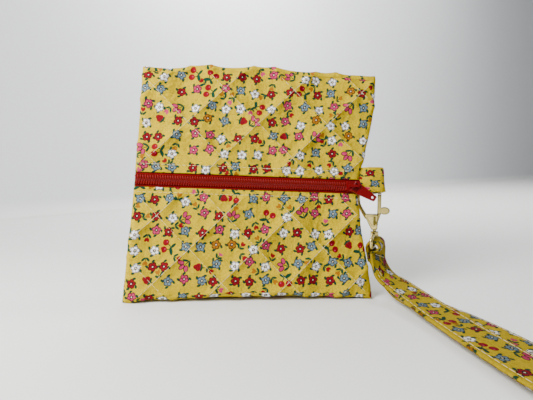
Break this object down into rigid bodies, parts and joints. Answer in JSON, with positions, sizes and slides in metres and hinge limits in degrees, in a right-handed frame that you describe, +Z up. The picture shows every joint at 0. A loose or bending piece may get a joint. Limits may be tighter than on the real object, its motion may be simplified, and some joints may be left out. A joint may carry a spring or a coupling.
{
  "type": "wristlet wallet",
  "caption": "Quilted fabric wristlet wallet with a front zipper, a side tab, a swivel trigger clasp and a folded wrist strap, standing upright.",
  "frame": {"origin": "on the table, under the middle of the pouch's base", "axes": "+X to the wallet's right along the zipper's closing direction, +Y to the back, +Z up"},
  "size_m": [0.1703, 0.1724, 0.12],
  "materials": {
    "print_cotton": "printed cotton, matte",
    "batting": "matte",
    "lining_cotton": "plain woven cotton, matte",
    "zipper_tape": "ribbed woven polyester, matte",
    "zipper_coil": "satin nylon",
    "thread": "matte",
    "red_enamel": "glossy enamel",
    "pale_gold": "polished",
    "spring_steel": "satin"
  },
  "bodies": {
    "pouch": {"outer_cover": "print_cotton", "batting": "batting", "lining": "lining_cotton", "zipper_tape_upper": "zipper_tape", "zipper_tape_lower": "zipper_tape", "zipper_coil_upper": "zipper_coil", "zipper_coil_lower": "zipper_coil", "topstitch_upper": "thread", "topstitch_lower": "thread", "side_tab": "print_cotton"},
    "slider": {"slider_body": "red_enamel", "slider_bridge": "red_enamel"},
    "pull": {"zipper_pull": "red_enamel"},
    "hook": {"hook_frame": "pale_gold", "gate_pin": "pale_gold", "gate_spring": "spring_steel", "swivel_post": "pale_gold"},
    "gate": {"gate_lever": "pale_gold"},
    "ring": {"strap_ring": "pale_gold"},
    "strap": {"wrist_strap": "print_cotton", "strap_tack": "thread"}
  },
  "joints": [
    {"name": "slider_travel", "type": "slide", "parent": "pouch", "child": "slider", "axis": [-0.9995, 0.0065, 0.0307], "range_m": [0, 0.104]},
    {"name": "pull_flip", "type": "hinge", "parent": "slider", "child": "pull", "pos_m": [0.05357, -0.00219, 0.05744], "axis": [0.527, 0.1767, 0.8313], "range_deg": [-165, 0]},
    {"name": "hook_turn", "type": "hinge", "parent": "pouch", "child": "hook", "pos_m": [0.06932, 0.0027, 0.0529], "axis": [0, 0, 1], "range_deg": [-4, 3]},
    {"name": "gate_open", "type": "hinge", "parent": "hook", "child": "gate", "pos_m": [0.06786, 0.00335, 0.0375], "axis": [-0.4067, -0.9135, 0], "range_deg": [0, 22], "stiffness_Nm_per_rad": 0.03, "springref_deg": -22.92},
    {"name": "ring_swivel", "type": "hinge", "parent": "hook", "child": "ring", "pos_m": [0.0674, 0.00355, 0.0305], "axis": [0, 0, 1], "range_deg": [-2, 100]},
    {"name": "strap_swing", "type": "hinge", "parent": "ring", "child": "strap", "pos_m": [0.06819, 0.00313, 0.0249], "axis": [0.4695, 0.8829, 0], "range_deg": [-60, 0]}
  ]
}
